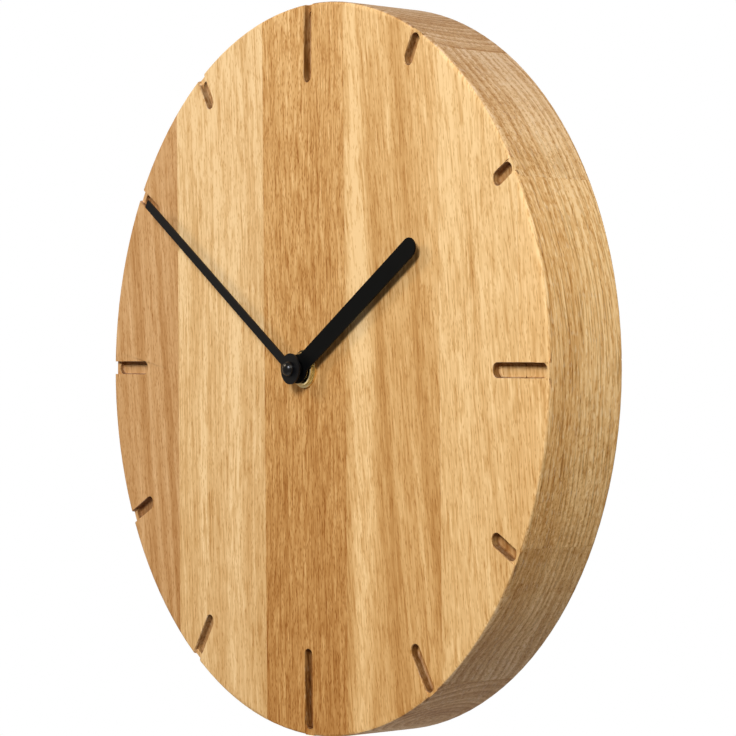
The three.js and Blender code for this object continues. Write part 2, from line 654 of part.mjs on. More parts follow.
const chipBase = boardFront + SEAT_GAP;
const chipProfile = [[0, chipBase]];
for (let step = 0; step <= END_STEPS; step += 1) {
  const angle = ((Math.PI / 2) * step) / END_STEPS;
  chipProfile.push([CHIP_RADIUS * Math.cos(angle), chipBase + CHIP_HEIGHT * Math.sin(angle)]);
}
chipProfile[chipProfile.length - 1][0] = 0;
add("chip_cover", turned(chipProfile, SMALL_SIDES, [CHIP_X, COIL_HEIGHT]), 0x101113, 0.4, 0);

const crystalCan = new THREE.CylinderGeometry(CRYSTAL_RADIUS, CRYSTAL_RADIUS, CRYSTAL_LENGTH, SMALL_SIDES);
const crystal = solid(crystalCan.translate(CRYSTAL_X, COIL_HEIGHT, boardFront + SEAT_GAP + CRYSTAL_RADIUS));
add("quartz_crystal", crystal, 0xc9ccd0, 0.25, 1);

// Battery cell across the case, and the two contacts that reach up to the circuit board
const cellBack = -padTip + CELL_END_GAP;
const cellFront = -cellBack - NUB_HEIGHT;
const cellPoints = [
  [0, cellBack],
  [CELL_RADIUS - CELL_RIM, cellBack],
  [CELL_RADIUS, cellBack + CELL_RIM],
  [CELL_RADIUS, cellFront - CELL_RIM],
  [CELL_RADIUS - CELL_RIM, cellFront],
  [NUB_RADIUS, cellFront],
  [NUB_RADIUS, cellFront + NUB_HEIGHT],
  [0, cellFront + NUB_HEIGHT],
].map(([radius, x]) => new THREE.Vector2(radius, x));
const cellGeometry = new THREE.LatheGeometry(cellPoints, ROUND_SIDES).rotateZ(-Math.PI / 2);
add("battery_cell", solid(cellGeometry.translate(0, cellHeight, cellDepth)), 0x3a3d42, 0.35, 0.6);

const padLength = CONTACT_PAD_HEIGHT + CONTACT_THICK / 2;
for (const [name, side] of [["contact_negative", -1], ["contact_positive", 1]]) {
  const sheet = [side * contactFace, side * (contactFace + CONTACT_THICK)].sort((a, b) => a - b);
  const pad = new THREE.CylinderGeometry(CONTACT_PAD_RADIUS, CONTACT_PAD_RADIUS, padLength, SMALL_SIDES);
  pad.rotateZ(Math.PI / 2);
  pad.translate(side * (padTip + padLength / 2), cellHeight, cellDepth);
  const contact = joined(
    block(sheet, [bayBottom + PAST, bayTop - PAST], [riserFoot, roomFront - LAYER_GAP]),
    block(sheet, [bayBottom + PAST, BOARD_BOTTOM + RISER_WIDTH], [riserFoot, riserFoot + RISER_WIDTH]),
    solid(pad),
  );
  add(name, contact, 0xc4c6c9, 0.3, 1);
}

// Fixing of the movement through the dial
const bushingBand = [roomFront + SEAT_GAP, BODY_DEPTH + BUSHING_RISE];
const bushing = ring(HOUR_PIPE_RADIUS + RUN_FIT, BUSHING_RADIUS, ...bushingBand);
add("threaded_bushing", bushing, 0xc9a24a, 0.3, 1);
add("rubber_washer", ring(shaftHole, RUBBER_RADIUS, caseFront, pocketFloor), 0x1b1b1c, 0.85, 0);
const washerTop = BODY_DEPTH + WASHER_THICK;
const nutTop = washerTop + NUT_THICK;
const threadGap = BUSHING_RADIUS + RUN_FIT;
add("dial_washer", ring(BUSHING_RADIUS + SEAT_GAP, WASHER_RADIUS, BODY_DEPTH, washerTop), 0xb98f3a, 0.3, 1);
const nutBlank = turned([
  [0, washerTop],
  [NUT_RADIUS, washerTop],
  [NUT_RADIUS, nutTop - NUT_EASE],
  [NUT_RADIUS - NUT_EASE, nutTop],
  [0, nutTop],
]);
const nut = cut(nutBlank, hole(threadGap, washerTop - PAST, nutTop + PAST, hubAxis, ROUND_SIDES));
add("dial_nut", nut, 0xd8b04f, 0.25, 1);

// Hands: bars with a round eye, turned clockwise from twelve
function handBar(width, tip, roundTip, seat, angle) {
  const half = width / 2;
  const squareBar = () => roundedRectangle(-half, half, 0, tip, MINUTE_CORNER);
  const shape = roundTip ? slotShape(width, -half, tip) : squareBar();
  return slab(shape, seat, seat + HAND_THICK).rotate([0, 0, -angle]);
}
const hourHand = cut(
  joined(
    handBar(HOUR_WIDTH, HOUR_LENGTH, true, hourSeat, HOUR_ANGLE),
    rod(HOUR_EYE, hourSeat, hourSeat + HAND_THICK, hubAxis, ROUND_SIDES),
    rod(HOUR_COLLAR_RADIUS, hourSeat - HOUR_COLLAR_HEIGHT, hourSeat + HAND_THICK / 2, hubAxis, ROUND_SIDES),
  ),
  hole(HOUR_PIPE_RADIUS + RUN_FIT / 2, hourSeat - PAST, hourSeat + PAST, hubAxis, ROUND_SIDES),
);
add("hour_hand", hourHand, 0x16171a, 0.4, 0.2);

const minuteHand = cut(
  joined(
    handBar(MINUTE_WIDTH, MINUTE_LENGTH, false, minuteSeat, MINUTE_ANGLE),
    rod(MINUTE_EYE, minuteSeat, capBase, hubAxis, ROUND_SIDES),
  ),
  hole(MINUTE_TIP_RADIUS + RUN_FIT / 2, minuteSeat - PAST, capBase + PAST, hubAxis),
);
add("minute_hand", minuteHand, 0x16171a, 0.4, 0.2);

const capBoreTop = minuteSeat + MINUTE_TIP_LENGTH + SEAT_GAP;
const capBore = MINUTE_TIP_RADIUS + RUN_FIT;
const capProfile = [[0, capBoreTop], [capBore, capBoreTop], [capBore, capBase], [CAP_RADIUS, capBase]];
for (let step = 0; step <= END_STEPS; step += 1) {
  const angle = ((Math.PI / 2) * step) / END_STEPS;
  const rise = (CAP_HEIGHT - CAP_SKIRT) * Math.sin(angle);
  capProfile.push([step < END_STEPS ? CAP_RADIUS * Math.cos(angle) : 0, capBase + CAP_SKIRT + rise]);
}
add("cap_nut", turned(capProfile, ROUND_SIDES), 0x0b0b0d, 0.15, 0.1);

// Keyhole hanger let into the back, held by two countersunk screws
const hangerPlan = slotShape(HANGER_WIDTH, hangerBottom, hangerTop);
const keySlot = slotShape(2 * KEY_SLOT_RADIUS, keyEntry - KEY_SLOT_RADIUS, keySlotTop);
const countersinks = screwHeights.map((height) => turned([
  [0, -PAST],
  [SCREW_HEAD_RADIUS + SEAT_GAP, -PAST],
  [SCREW_HEAD_RADIUS + SEAT_GAP, HANGER_INSET + SEAT_GAP],
  [SCREW_SHANK_RADIUS + SEAT_GAP, HANGER_INSET + SCREW_HEAD_HEIGHT + SEAT_GAP],
  [SCREW_SHANK_RADIUS + SEAT_GAP, hangerFront + PAST],
  [0, hangerFront + PAST],
], SMALL_SIDES, [0, height]));
const hanger = cut(
  slab(hangerPlan, HANGER_INSET, hangerFront),
  slab(keySlot, -PAST, hangerFront + PAST),
  rod(KEY_ENTRY_RADIUS, -PAST, hangerFront + PAST, [0, keyEntry], ROUND_SIDES),
  ...countersinks,
);
add("hanger_plate", hanger, 0xb4b7ba, 0.35, 1);

screwHeights.forEach((height, index) => {
  const blank = turned([
    [0, HANGER_INSET],
    [SCREW_HEAD_RADIUS, HANGER_INSET],
    [SCREW_SHANK_RADIUS, HANGER_INSET + SCREW_HEAD_HEIGHT],
    [SCREW_SHANK_RADIUS, screwTip - SCREW_POINT],
    [0, screwTip],
  ], SMALL_SIDES, [0, height]);
  const cross = [0, 90].map((angle) =>
    block(
      [-SCREW_CROSS_LENGTH / 2, SCREW_CROSS_LENGTH / 2],
      [-SCREW_CROSS_WIDTH / 2, SCREW_CROSS_WIDTH / 2],
      [-PAST, HANGER_INSET + SCREW_CROSS_DEPTH],
    ).rotate([0, 0, angle]).translate([0, height, 0]),
  );
  add(`hanger_screw_${index + 1}`, cut(blank, ...cross), 0xa9acb0, 0.35, 1);
});

export default part;
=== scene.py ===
import json
import math

import bmesh
import bpy
from mathutils import Matrix, Vector


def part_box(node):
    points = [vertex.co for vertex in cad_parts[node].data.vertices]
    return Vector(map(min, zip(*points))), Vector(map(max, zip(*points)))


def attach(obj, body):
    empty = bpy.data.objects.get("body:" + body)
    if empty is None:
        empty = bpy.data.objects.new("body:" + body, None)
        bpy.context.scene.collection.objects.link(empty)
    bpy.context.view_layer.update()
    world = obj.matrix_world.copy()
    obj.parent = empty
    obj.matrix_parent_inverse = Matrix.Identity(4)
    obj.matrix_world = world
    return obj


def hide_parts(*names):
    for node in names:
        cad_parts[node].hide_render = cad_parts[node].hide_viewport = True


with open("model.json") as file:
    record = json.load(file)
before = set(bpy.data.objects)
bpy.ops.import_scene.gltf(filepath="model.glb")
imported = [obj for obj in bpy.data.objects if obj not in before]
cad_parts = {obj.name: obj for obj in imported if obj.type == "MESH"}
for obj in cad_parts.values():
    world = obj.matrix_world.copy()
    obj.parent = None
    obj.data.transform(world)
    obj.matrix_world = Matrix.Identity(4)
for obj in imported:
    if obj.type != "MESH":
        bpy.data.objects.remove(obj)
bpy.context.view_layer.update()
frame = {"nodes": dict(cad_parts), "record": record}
scene = bpy.context.scene
nodes = frame["nodes"]

MM = 0.001

# Sizes shared with the solids, in metres
BODY_RADIUS = 0.125
BODY_DEPTH = 0.0305
DIAL_HEIGHT = -0.080
DIAL_CENTRE = Vector((0, -BODY_DEPTH, DIAL_HEIGHT))
MARK_DEPTH = 0.0034
MARK_RIM_WALL = 0.002
MARK_WIDTH = 0.0048
MARK_END = BODY_RADIUS - MARK_RIM_WALL
MARK_LIP_DROP = 0.0013

# Routed marks as the photograph shows them: shallower, with eased edges, round floors and uneven lips
SEEN_DEPTH = 0.0032
TOP_LIP = 0.0024
LEFT_LIP = 0.0016
RIGHT_LIP = 0.0003
RIGHT_REACH = 0.0011
EDGE_EASE = 0.0002
FLOOR_EASE = 0.0009

# Camera: angles in degrees, lens and sensor in millimetres, place in metres from the middle of the dial
AZIMUTH = 52.649
ELEVATION = 0.035
ROLL = 0.289
LENS = 117.514
SENSOR = 36
NEAREST = 0.01
DISTANCE = 0.8220
SIDE_STEP = 0.021425
UP_STEP = 0.000425


def direction(turn, rise):
    """Unit vector away from the dial, at a turn to the right and a rise above its axis, both in degrees."""
    a = math.radians(turn)
    e = math.radians(rise)
    return Vector((math.sin(a) * math.cos(e), -math.cos(a) * math.cos(e), math.sin(e)))


def camera():
    """Camera that sees the clock as the photograph does."""
    back = direction(AZIMUTH, ELEVATION)
    right = direction(AZIMUTH + 90, 0)
    up = back.cross(right)
    place = DIAL_CENTRE + back * DISTANCE + right * SIDE_STEP + up * UP_STEP
    c = math.cos(math.radians(ROLL))
    s = math.sin(math.radians(ROLL))
    axes = (c * right + s * up, c * up - s * right, back)
    data = bpy.data.cameras.new("photo_camera")
    data.lens = LENS
    data.sensor_width = SENSOR
    data.clip_start = NEAREST
    made = bpy.data.objects.new("photo_camera", data)
    made.matrix_world = Matrix.Translation(place) @ Matrix(axes).transposed().to_4x4()
    scene.collection.objects.link(made)
    scene.camera = made


# Noise runs from 0 to 1 round its middle, and most of it lies within the usual span
NOISE_MIDDLE = 0.5
USUAL = (0.3, 0.7)


class Graph:
    """Material with small helpers that add shader nodes and wire them in one line each."""

    def __init__(self, name):
        self.material = bpy.data.materials.new(name)
        self.material.use_nodes = True
        self.tree = self.material.node_tree
        self.shader = self.tree.nodes["Principled BSDF"]

    def put(self, socket, value):
        if isinstance(value, bpy.types.NodeSocket):
            self.tree.links.new(value, socket)
        elif isinstance(value, (tuple, list)) and len(value) == 3 and socket.type == "RGBA":
            socket.default_value = (*value, 1)
        else:
            socket.default_value = value

    def add(self, kind, output=0, values=None, **settings):
        node = self.tree.nodes.new(kind)
        for key, value in settings.items():
            setattr(node, key, value)
        for key, value in (values or {}).items():
            self.put(node.inputs[key], value)
        return node.outputs[output]

    def set(self, **values):
        for key, value in values.items():
            self.put(self.shader.inputs[key.replace("_", " ")], value)

    def place(self):
        return self.add("ShaderNodeTexCoord", "Object")

    def normal(self):
        return self.add("ShaderNodeTexCoord", "Normal")

    def split(self, vector):
        node = self.tree.nodes.new("ShaderNodeSeparateXYZ")
        self.put(node.inputs[0], vector)
        return node.outputs

    def join(self, x, y, z):
        return self.add("ShaderNodeCombineXYZ", values={0: x, 1: y, 2: z})

    def math(self, operation, a, b=0.0, clamp=False):
        return self.add("ShaderNodeMath", values={0: a, 1: b}, operation=operation, use_clamp=clamp)

    def plus(self, a, b):
        return self.math("ADD", a, b)

    def minus(self, a, b):
        return self.math("SUBTRACT", a, b)

    def times(self, a, b):
        return self.math("MULTIPLY", a, b)

    def size(self, a):
        return self.math("ABSOLUTE", a)

    def length(self, a, b):
        return self.math("SQRT", self.plus(self.times(a, a), self.times(b, b)))

    def part(self, value, middle, weight):
        """What a value has above its middle, weighted."""
        return self.times(self.minus(value, middle), weight)

    def scale(self, vector, factors):
        return self.add("ShaderNodeVectorMath", values={0: vector, 1: factors}, operation="MULTIPLY")

    def stretch(self, vector, x, y, z):
        """Coordinates in cells of x, y and z millimetres."""
        return self.scale(vector, (1 / (x * MM), 1 / (y * MM), 1 / (z * MM)))

    def even(self, vector, size):
        """Coordinates in cells of one size, in millimetres."""
        return self.stretch(vector, size, size, size)

    def shift(self, vector, offset):
        return self.add("ShaderNodeVectorMath", values={0: vector, 1: offset}, operation="ADD")

    def noise(self, vector, detail=2.0, roughness=0.5, output=0):
        values = {"Vector": vector, "Scale": 1.0, "Detail": detail, "Roughness": roughness}
        return self.add("ShaderNodeTexNoise", output, values)

    def cells(self, vector, output="Distance", distance="EUCLIDEAN"):
        values = {"Vector": vector, "Scale": 1.0}
        return self.add("ShaderNodeTexVoronoi", output, values, distance=distance)

    def span(self, value, low, high, to_low=0.0, to_high=1.0, smooth=True):
        kind = "SMOOTHSTEP" if smooth else "LINEAR"
        values = {0: value, 1: low, 2: high, 3: to_low, 4: to_high}
        return self.add("ShaderNodeMapRange", values=values, interpolation_type=kind)

    def fade(self, value, low, high):
        return self.minus(1.0, self.span(value, low, high))

    def mix(self, factor, a, b, blend="MIX"):
        node = self.tree.nodes.new("ShaderNodeMix")
        node.data_type = "RGBA"
        node.blend_type = blend
        self.put(node.inputs[0], factor)
        self.put(node.inputs[6], a)
        self.put(node.inputs[7], b)
        return node.outputs[2]

    def bump(self, height, strength, depth):
        return self.add("ShaderNodeBump", values={"Strength": strength, "Distance": depth, "Height": height})


class Oak(Graph):
    """Solid oak: growth rings round a leaning pith, streaks and pores along the grain, marks darkened by a
    little scorch and by painted shade.
    """

    # How fast red, green and blue fall as the wood gets darker, and the red level of the palest streak
    DARKENING = (1.0, 1.55, 2.42)
    PALEST = 0.93

    # Where the noise of each stave starts, for each step of its seed
    SEED_STEP = (0.37, 0.19, 0.53)

    # Sway of the grain: its cell in millimetres and its reach in metres
    SWAY_CELL = (42, 42, 190)
    SWAY_REACH = (0.012, 0.012, 0.0)

    # One year as a share of its ring: early wood, late wood, tone of late wood and middle of the tone
    EARLY = (0.02, 0.36)
    LATE = (0.35, 0.98)
    LATE_TONE = 0.7
    BAND_MIDDLE = 0.4

    # Uneven rings: cells per millimetre and how many years they stray
    UNEVEN_RATE = 0.16
    UNEVEN_YEARS = 2.4

    # Streaks from broad to fine: millimetres across and along
    STREAKS = [(24, 420), (12, 240), (5.6, 90), (2.8, 36), (1.4, 13), (1.0, 4.5)]

    # Single fibres, two kinds dark and one pale: millimetres across and along, depth of tone
    FIBRES = [(0.90, 15, 0.13), (0.75, 7, 0.14), (0.95, 11, -0.07)]
    FIBRE_SPAN = (0.56, 0.72)
    FIBRE_STEP = 90
    FIBRE_START = (7.0, 3.0)

    # Pores: millimetres across and along, and reach within their cell; their dark heart, tone and crowding
    PORES = [(0.52, 2.1, 0.45), (0.72, 4.4, 0.34)]
    PORE_HEART = 0.10
    PORE_MIDDLE = 0.1
    PORE_TONE = 0.36
    PORE_CROWD = 0.45
    EARLY_CROWD = 0.4

    # Darker year under the face: where it ends in the depth, how it wavers, how it begins below the face
    LAYER_END = (-0.0190, -0.0150)
    LAYER_WAVER = 0.006
    LAYER_BEGIN = (-BODY_DEPTH + 0.0004, -BODY_DEPTH + 0.0022)

    # Pale flecks of the rays: cell in millimetres, size within it, strength on the face and added on the rim
    FLECK_CELL = (0.7, 0.7, 3.4)
    FLECK_SPAN = (0.08, 0.36)
    FLECK_FACE = 0.06
    FLECK_RIM = 0.12

    # Rim: heights between which its tone changes, fine lines by rate, contrast and share of the rings, and
    # layers of cut fibres that lean a little, with grey dashes and pale specks
    RIM_HEIGHTS = (-0.06, 0.02)
    LINE_RATES = (1.15, 14.0)
    LINE_SPAN = (0.48, 0.74, -0.03, 0.12)
    LINE_BAND = 0.10
    LAYER_LEAN = 0.05
    DASH_CELL = (16, 0.60, 16)
    DASH_SPAN = (0.46, 0.32)
    DASH_TINT = (0.72, 0.67, 0.58)
    SPECK_CELL = (2.4, 0.50, 2.4)
    SPECK_SPAN = (0.62, 0.72, 0.0, 0.26)
    SPECK_TINT = (0.92, 0.72, 0.44)

    # End grain, where the rim looks up or down
    END_SPAN = (0.25, 0.95)
    END_BAND = 0.22
    END_TINT = (0.78, 0.79, 1.0)

    # Scorch and painted shade in the marks: depth where they begin, along the mark and at the lip, how they
    # set in, how far they run past the end of a mark, how far from the rim they stop at 12, and how they fade
    # outwards and by grain
    LIP_START = MARK_END - MARK_WIDTH
    SCORCH_SHADE_BEGIN = (0.3 * MM, 0.5 * MM)
    SCORCH_SHADE_RISE = 0.3 * MM
    SCORCH_SHADE_PAST = 0.1 * MM
    SCORCH_SHADE_RIM = 0.2 * MM
    SCORCH_SHADE_FADE = (BODY_RADIUS - 22 * MM, BODY_RADIUS - 6 * MM, 1.0, 0.88)
    SCORCH_SHADE_GRAIN = (0.2, 0.8, 0.8, 1.0)

    # Which faces are floors and which look up, their painted-shade tints and the walls' own, and the heights
    # above or below the middle of the dial between which the floors turn from unshaded to darkened by painted
    # shade
    LEVEL_SPAN = (0.5, 0.9)
    LEDGE_SPAN = (0.90, 0.98)
    WALL_SHADE_TINT = (0.32, 0.23, 0.13)
    LEDGE_SHADE_TINT = (0.22, 0.14, 0.09)
    UNSHADED_FLOOR = (1.0, 1.0, 1.0)
    FLOOR_SHADE_TINT = (0.54, 0.42, 0.32)
    FLOOR_SHADE_HEIGHTS = (0.01, 0.03)

    # Surface
    ROUGHNESS = 0.46
    PORE_ROUGHNESS = 0.25
    STREAK_ROUGHNESS = 0.15
    STREAK_RELIEF = 0.4
    RELIEF = (0.30, 0.12 * MM)
    SPECULAR = 0.14

    def __init__(self, name, tone, streaks, pith, lean, ring, figure, pores, fibres, seed, shade_downwards,
                 layer=0.0, rim=(0, 0), bands=()):
        super().__init__(name)
        self.seed = seed
        self.x, self.y, self.z = self.split(self.place())
        self.height = self.minus(self.z, DIAL_HEIGHT)
        self.facing = self.split(self.normal())
        self.side = self.minus(1.0, self.size(self.facing[1]))
        self.end = self.span(self.size(self.facing[2]), *self.END_SPAN)
        self.follow_grain(lean)
        self.grow_rings(pith, ring)
        self.dark = self.part(self.band, self.BAND_MIDDLE, figure)
        self.draw_bands(bands, shade_downwards)
        self.draw_streaks(streaks, fibres)
        self.open_pores(pores)
        if layer:
            self.lay_dark_year(layer)
        self.cut_rim(rim)
        self.colour_wood(tone)
        self.scorch_and_shade_marks()
        self.finish_surface()

    def darken(self, amount):
        self.dark = self.plus(self.dark, amount)

    def seeded(self, vector):
        return self.shift(vector, tuple(self.seed * step for step in self.SEED_STEP))

    def follow_grain(self, lean):
        """The grain leans with the pith and sways a little on its way up."""
        upright = self.minus(self.x, self.times(self.height, lean))
        straight = self.seeded(self.join(upright, self.y, self.z))
        sway = self.noise(self.stretch(straight, *self.SWAY_CELL), 1.0, output="Color")
        sway = self.scale(self.shift(sway, (-NOISE_MIDDLE,) * 3), self.SWAY_REACH)
        self.grain = self.shift(straight, sway)
        sway_x, sway_y, _ = self.split(sway)
        self.swayed = self.plus(self.x, sway_x)
        self.across = self.plus(upright, sway_x)
        self.through = self.plus(self.y, sway_y)

    def grow_rings(self, pith, ring):
        """Rings by the distance from the pith in millimetres: dark early wood, and late wood that deepens."""
        u = self.part(self.across, pith[0] * MM, 1 / MM)
        v = self.part(self.through, pith[1] * MM, 1 / MM)
        self.radius = self.length(u, v)
        uneven = self.noise(self.join(self.times(self.radius, self.UNEVEN_RATE), self.seed, 0.0), 1.0)
        years = self.math("DIVIDE", self.radius, ring)
        phase = self.math("FRACT", self.plus(years, self.times(uneven, self.UNEVEN_YEARS)))
        self.early = self.fade(phase, *self.EARLY)
        late = self.times(self.span(phase, *self.LATE), self.LATE_TONE)
        self.band = self.math("MAXIMUM", self.early, late)

    def draw_bands(self, bands, shade_downwards):
        """Broad bands of the figure, and painted shade that darkens the tone downwards, for the light that
        falls off from above.
        """
        for where, wide, depth, slant in bands:
            here = self.minus(self.swayed, self.times(self.height, slant))
            off = self.size(self.part(here, where * MM, 1 / (wide * MM)))
            self.darken(self.span(off, 0.0, 1.0, depth, 0.0))
        # Painted shade: the tone darkens downwards, standing in for light that falls off from above
        self.darken(self.times(self.height, -shade_downwards / (100 * MM)))

    def draw_streaks(self, streaks, fibres):
        """Streaks and single fibres along the grain; the finest streak also gives the relief."""
        for (wide, long), weight in zip(self.STREAKS, streaks):
            self.fine = self.noise(self.stretch(self.grain, wide, wide, long), 1.0)
            self.darken(self.part(self.fine, NOISE_MIDDLE, weight))
        for wide, long, depth in self.FIBRES:
            apart = (depth * self.FIBRE_STEP, *self.FIBRE_START)
            line = self.noise(self.shift(self.stretch(self.grain, wide, wide, long), apart), 0.0)
            self.darken(self.span(line, *self.FIBRE_SPAN, 0.0, depth * fibres))

    def open_pores(self, pores):
        """Short fine dashes, crowded in the early wood."""
        crowd = self.plus(self.PORE_CROWD * pores, self.times(self.early, self.EARLY_CROWD * pores))
        dashes = []
        for wide, long, reach in self.PORES:
            spots = self.stretch(self.grain, wide, wide, long)
            chance = self.split(self.cells(spots, "Color"))[0]
            here = self.math("LESS_THAN", chance, crowd)
            dashes.append(self.times(self.fade(self.cells(spots), self.PORE_HEART, reach), here))
        self.pore = self.math("MAXIMUM", *dashes)
        self.darken(self.part(self.pore, self.PORE_MIDDLE, self.PORE_TONE * pores))

    def lay_dark_year(self, layer):
        """A darker year just under the face, which shows on the rim."""
        wavering = self.plus(self.y, self.part(self.fine, NOISE_MIDDLE, self.LAYER_WAVER))
        under = self.span(wavering, *self.LAYER_END, 1.0, 0.0)
        below = self.span(self.y, *self.LAYER_BEGIN)
        self.darken(self.times(self.times(under, below), layer))

    def cut_rim(self, rim):
        """Flecks where rays come to the surface; rings as fine lines on the rim and arcs on its ends."""
        fleck = self.fade(self.cells(self.stretch(self.grain, *self.FLECK_CELL)), *self.FLECK_SPAN)
        strength = self.plus(self.FLECK_FACE, self.times(self.side, self.FLECK_RIM))
        self.dark = self.minus(self.dark, self.times(fleck, strength))
        self.darken(self.times(self.side, self.span(self.height, *self.RIM_HEIGHTS, *rim)))
        inward, upward = self.LINE_RATES
        flow = self.join(self.times(self.radius, inward), self.times(self.height, upward), self.seed)
        lines = self.span(self.noise(flow, 1.0, 0.6), *self.LINE_SPAN)
        lines = self.plus(lines, self.part(self.band, self.BAND_MIDDLE, self.LINE_BAND))
        self.darken(self.times(lines, self.side))
        self.darken(self.times(self.end, self.part(self.band, self.BAND_MIDDLE, self.END_BAND)))

    def colour_wood(self, tone):
        """Colour by darkness, with grey lines and pale specks of cut fibres on the rim, greyer end grain."""
        dark = self.math("MAXIMUM", self.dark, math.log(tone[0] / self.PALEST))
        channels = {}
        for index, (level, speed) in enumerate(zip(tone, self.DARKENING)):
            fall = self.math("EXPONENT", self.times(dark, -speed))
            channels[index] = self.math("MULTIPLY", fall, level, clamp=True)
        colour = self.add("ShaderNodeCombineColor", values=channels)
        lean = self.times(self.height, self.LAYER_LEAN)
        layers = self.seeded(self.join(self.x, self.plus(self.through, lean), self.z))
        dashes = self.span(self.noise(self.stretch(layers, *self.DASH_CELL), 0.0), *self.DASH_SPAN)
        specks = self.span(self.noise(self.stretch(layers, *self.SPECK_CELL), 0.0), *self.SPECK_SPAN)
        along = self.times(self.side, self.minus(1.0, self.end))
        colour = self.mix(self.times(along, dashes), colour, self.DASH_TINT, "MULTIPLY")
        colour = self.mix(self.times(self.side, specks), colour, self.SPECK_TINT)
        self.colour = self.mix(self.end, colour, self.END_TINT, "MULTIPLY")

    def scorch_and_shade_marks(self):
        """Walls and floors of the routed marks are darkened brown, a little by the cutter's scorch and mostly
        by painted shade; their lips are not.
        """
        drop = self.plus(self.y, BODY_DEPTH)
        reach = self.length(self.x, self.height)
        begin = self.span(reach, self.LIP_START - MM, self.LIP_START, *self.SCORCH_SHADE_BEGIN)
        sunk = self.span(self.minus(drop, begin), 0.0, self.SCORCH_SHADE_RISE)
        sunk = self.times(sunk, self.math("LESS_THAN", drop, SEEN_DEPTH + MM))

        # It ends where the mark does: at the rim for the one at 12, further out on the right
        middle = self.math("LESS_THAN", self.size(self.x), MARK_WIDTH)
        top = self.times(middle, self.math("GREATER_THAN", self.height, 0.0))
        limit = self.span(top, 0.0, 1.0, MARK_END + self.SCORCH_SHADE_PAST, BODY_RADIUS - self.SCORCH_SHADE_RIM)
        right = self.math("GREATER_THAN", self.x, MARK_WIDTH)
        limit = self.plus(limit, self.times(right, RIGHT_REACH))
        scorch_shade = self.times(sunk, self.math("LESS_THAN", reach, limit))
        scorch_shade = self.times(scorch_shade, self.span(reach, *self.SCORCH_SHADE_FADE))
        scorch_shade = self.times(scorch_shade, self.span(self.fine, *self.SCORCH_SHADE_GRAIN))

        # Painted shade: floors stay unshaded in the marks at 3 and 9 and darken further up and down the dial,
        # and walls that look up are the darkest
        scorch_shade_tint = self.mix(self.span(self.facing[2], *self.LEDGE_SPAN), self.WALL_SHADE_TINT, self.LEDGE_SHADE_TINT)
        shaded_floors = self.span(self.size(self.height), *self.FLOOR_SHADE_HEIGHTS)
        floor_shade = self.mix(shaded_floors, self.UNSHADED_FLOOR, self.FLOOR_SHADE_TINT)
        scorch_shade_tint = self.mix(self.span(self.size(self.facing[1]), *self.LEVEL_SPAN), scorch_shade_tint, floor_shade)
        self.colour = self.mix(scorch_shade, self.colour, scorch_shade_tint, "MULTIPLY")

    def finish_surface(self):
        """Pores are rough and sunk, and the finest streaks stand out a little."""
        rough = self.plus(self.ROUGHNESS, self.times(self.pore, self.PORE_ROUGHNESS))
        rough = self.plus(rough, self.part(self.fine, NOISE_MIDDLE, self.STREAK_ROUGHNESS))
        relief = self.minus(self.times(self.fine, self.STREAK_RELIEF), self.pore)
        self.set(Base_Color=self.colour, Roughness=rough, Normal=self.bump(relief, *self.RELIEF))
        self.set(Specular_IOR_Level=self.SPECULAR)


# Each stave: tone, strength of the streaks from broad to fine, pith in millimetres from the dial axis and
# the wall plane, lean of the grain, ring width in millimetres, strength of the figure, of the pores and of
# single fibres, seed of the noise, painted shade that darkens the tone per 100 mm downwards, tone of the year
# under the face, tone of the rim below and above, and broad bands. A band has its place at dial height and
# half width in millimetres, its depth of tone and its own lean.
STAVES = [
    dict(tone=(0.625, 0.350, 0.142), streaks=(0.10, 0.22, 0.25, 0.21, 0.19, 0.17),
         pith=(-150, -8), lean=-0.115, ring=7.0, figure=0.10, pores=0.9, fibres=0.8, seed=1.3,
         shade_downwards=0.07, bands=((-105, 6, 0.10, -0.12), (-87, 4, 0.12, -0.10))),
    dict(tone=(0.80, 0.515, 0.228), streaks=(0.16, 0.34, 0.42, 0.25, 0.20, 0.18),
         pith=(-190, -40), lean=-0.055, ring=3.4, figure=0.05, pores=0.8, fibres=1.0, seed=2.1,
         shade_downwards=0.07, bands=((-56, 5, 0.08, -0.06), (-68, 3, 0.06, -0.05))),
    dict(tone=(0.590, 0.305, 0.095), streaks=(0.15, 0.13, 0.18, 0.28, 0.44, 0.42),
         pith=(-96, -6), lean=-0.045, ring=2.6, figure=0.08, pores=1.25, fibres=1.5, seed=3.7,
         shade_downwards=0.14, bands=((-13, 4, 0.06, -0.05),)),
    dict(tone=(0.71, 0.415, 0.155), streaks=(0.20, 0.16, 0.20, 0.22, 0.28, 0.20),
         pith=(30, -12), lean=-0.140, ring=3.6, figure=0.06, pores=0.8, fibres=1.1, seed=4.4,
         shade_downwards=0.08, rim=(0.05, 0.05),
         bands=((42, 8, 0.18, -0.12), (65, 8, 0.18, -0.16), (30, 10, -0.23, -0.03))),
    dict(tone=(0.83, 0.535, 0.232), streaks=(0.15, 0.11, 0.13, 0.14, 0.20, 0.20),
         pith=(96, 240), lean=-0.105, ring=3.0, figure=0.06, pores=0.8, fibres=1.1, seed=5.9,
         shade_downwards=0.09, layer=0.10, rim=(0.08, 0.08),
         bands=((95, 3, 0.08, -0.14), (104, 3, 0.05, -0.12), (109, 6, 0.05, -0.02))),
    dict(tone=(0.83, 0.525, 0.222), streaks=(0.15, 0.11, 0.13, 0.14, 0.20, 0.20),
         pith=(118, 84), lean=-0.090, ring=2.2, figure=0.08, pores=0.8, fibres=1.1, seed=6.2,
         shade_downwards=0.09, layer=0.12, rim=(0.08, 0.06)),
]


